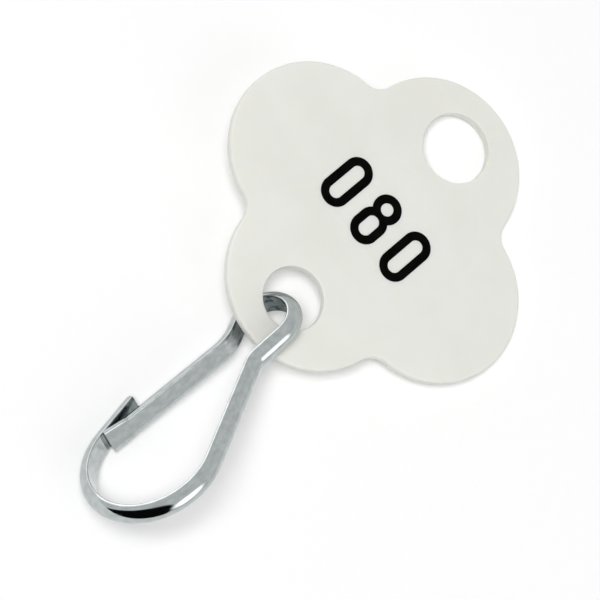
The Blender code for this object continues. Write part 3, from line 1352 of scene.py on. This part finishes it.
@dataclass
class Studio:
    """The pale floor, the light tent and the camera.

    Attributes:
        floor_size: Width of the floor, in metres.
        lean: Sideways and upright parts of the plate's normal, as the camera sees it.
        roll: Turn of the plate in the camera's view, in radians.
        shift_mm: Where the plate's middle stands right of and above the view's middle.
        distance_mm: From the camera to the plate's face.
        lens: The camera's focal length, in millimetres.
        sensor: The camera's sensor width, in millimetres.
        softbox: The main light.
        tent_radiance: Brightness of the tent all round, as polished metal mirrors it.
        tent_fill: Share of that brightness that lights matt surfaces.
        backdrop: Brightness of the tent where it is seen directly.
        patches: The tent's dark doorway and its bright panels.
    """

    floor_size: float = 3.0
    lean: Pair = (0.3774, 0.1959)
    roll: float = -0.063
    shift_mm: Pair = (9.21, 9.414)
    distance_mm: float = 400.0
    lens: float = 199.93
    sensor: float = 36.0
    softbox: Softbox = Softbox("front_softbox", place=(-0.33, 0.14, 1.15), width=0.45, power=9.8)
    tent_radiance: float = 0.80
    tent_fill: float = 0.45
    backdrop: float = 0.93
    patches: Sequence[SkyPatch] = (
        SkyPatch(azimuth=185.0, elevation=8.0, inner=52.0, outer=58.0, radiance=0.004),
        SkyPatch(azimuth=266.0, elevation=37.0, inner=11.0, outer=30.0, radiance=2.6),
        SkyPatch(azimuth=82.0, elevation=7.0, inner=8.0, outer=22.0, radiance=2.4),
    )

    def build_floor(self) -> None:
        """Lay the floor."""
        work = bmesh.new()
        bmesh.ops.create_grid(work, x_segments=1, y_segments=1, size=self.floor_size / 2)
        mesh = bpy.data.meshes.new("floor")
        work.to_mesh(mesh)
        work.free()
        mesh.materials.append(WhitePaper().material())
        floor = bpy.data.objects.new("floor", mesh)
        bpy.context.scene.collection.objects.link(floor)

    def build_sky(self) -> None:
        """Surround the object with the tent, its dark doorway and its bright panels."""
        world = bpy.data.worlds.new("light_tent")
        bench = NodeBench(world)
        direction = bench.node("ShaderNodeTexCoord").outputs["Generated"]
        light = self.tent_radiance
        for patch in self.patches:
            nearness = bench.node("ShaderNodeVectorMath", operation="DOT_PRODUCT")
            bench.feed(nearness.inputs[0], direction)
            bench.feed(nearness.inputs[1], patch.towards())
            near = nearness.outputs["Value"]
            start, stop = (math.cos(math.radians(angle)) for angle in (patch.outer, patch.inner))
            light = bench.between(near, light, patch.radiance, start, stop, "SMOOTHSTEP")
        matt = bench.node("ShaderNodeMath", operation="MULTIPLY")
        bench.feed(matt.inputs[0], light)
        bench.feed(matt.inputs[1], self.tent_fill)
        rays = bench.node("ShaderNodeLightPath").outputs
        mirrored = bench.between(rays["Is Glossy Ray"], matt.outputs["Value"], light, 0.0, 1.0)
        seen = bench.between(rays["Is Camera Ray"], mirrored, self.backdrop, 0.0, 1.0)
        background = bench.tree.nodes["Background"]
        bench.feed(background.inputs["Color"], (*WHITE, 1.0))
        bench.feed(background.inputs["Strength"], seen)
        bpy.context.scene.world = world

    def build_camera(self, plate_matrix: Matrix, thickness: float) -> None:
        """Set the camera so that it sees the plate's face at its lean.

        Args:
            plate_matrix: The plate's frame in the model.
            thickness: The plate's thickness in millimetres.
        """
        side, up = self.lean
        normal = Vector((side, up, math.sqrt(1 - side * side - up * up)))
        tilt = Vector((0.0, 0.0, 1.0)).rotation_difference(normal).to_matrix()
        seen = tilt @ Matrix.Rotation(self.roll, 3, "Z")
        face = plate_matrix @ Matrix.Translation((0.0, 0.0, thickness / 2 * MM))
        turned = face.to_3x3() @ seen.transposed()
        offset = Vector((-self.shift_mm[0], -self.shift_mm[1], self.distance_mm)) * MM
        data = bpy.data.cameras.new("camera")
        data.lens = self.lens
        data.sensor_width = self.sensor
        data.clip_start = 0.01
        data.clip_end = 10.0
        camera = bpy.data.objects.new("camera", data)
        stand = Matrix.Translation(face.translation + turned @ offset)
        camera.matrix_world = stand @ turned.to_4x4()
        bpy.context.scene.collection.objects.link(camera)
        bpy.context.scene.camera = camera

    def build(self, plate_matrix: Matrix, thickness: float) -> None:
        """Build the whole room.

        Args:
            plate_matrix: The plate's frame in the model.
            thickness: The plate's thickness in millimetres.
        """
        self.build_floor()
        self.build_sky()
        self.softbox.build()
        self.build_camera(plate_matrix, thickness)
        bpy.context.scene.view_settings.view_transform = "Standard"


def plate_frame(frame: dict, plate: NumberPlate) -> tuple[Matrix, Vector]:
    """Find the plate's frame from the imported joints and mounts.

    Args:
        plate: The plate, for where its hook hole is.

    Returns:
        The plate's frame in the model, and the direction of the gate's flex axis.
    """
    joints = {joint["name"]: joint for joint in frame["joints"]}
    mounts = {mount["name"]: mount for mount in frame["record"]["mounts"]}
    hole = Vector(joints["hook_swing"]["pos_m"])
    normal = Vector(joints["hook_swing"]["axis"]).normalized()
    towards = Vector(mounts["number_face"]["pos_m"]) - hole
    line = (towards - normal * towards.dot(normal)).normalized()
    x_axis = Matrix.Rotation(-DIAGONAL, 3, normal) @ line
    turned = Matrix((x_axis, normal.cross(x_axis), normal)).transposed().to_4x4()
    to_middle = Matrix.Translation(-plate.hook_hole_centre.to_3d() * MM)
    return Matrix.Translation(hole) @ turned @ to_middle, Vector(joints["gate_flex"]["axis"])


def main() -> None:
    """Build the object and its room."""
    logging.basicConfig(level=logging.INFO, format="%(name)s: %(message)s")
    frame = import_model()

    plate = NumberPlate()
    hook = SnapHook()
    plate_matrix, flex_axis = plate_frame(frame, plate)
    plate.build(plate_matrix, SatinPlastic().material(), BlackEnamel().material())
    hook.build(hook.matrix(plate, flex_axis, plate_matrix), BrightPlating().material())
    Studio().build(plate_matrix, plate.thickness)


if __name__ == "__main__":
    main()
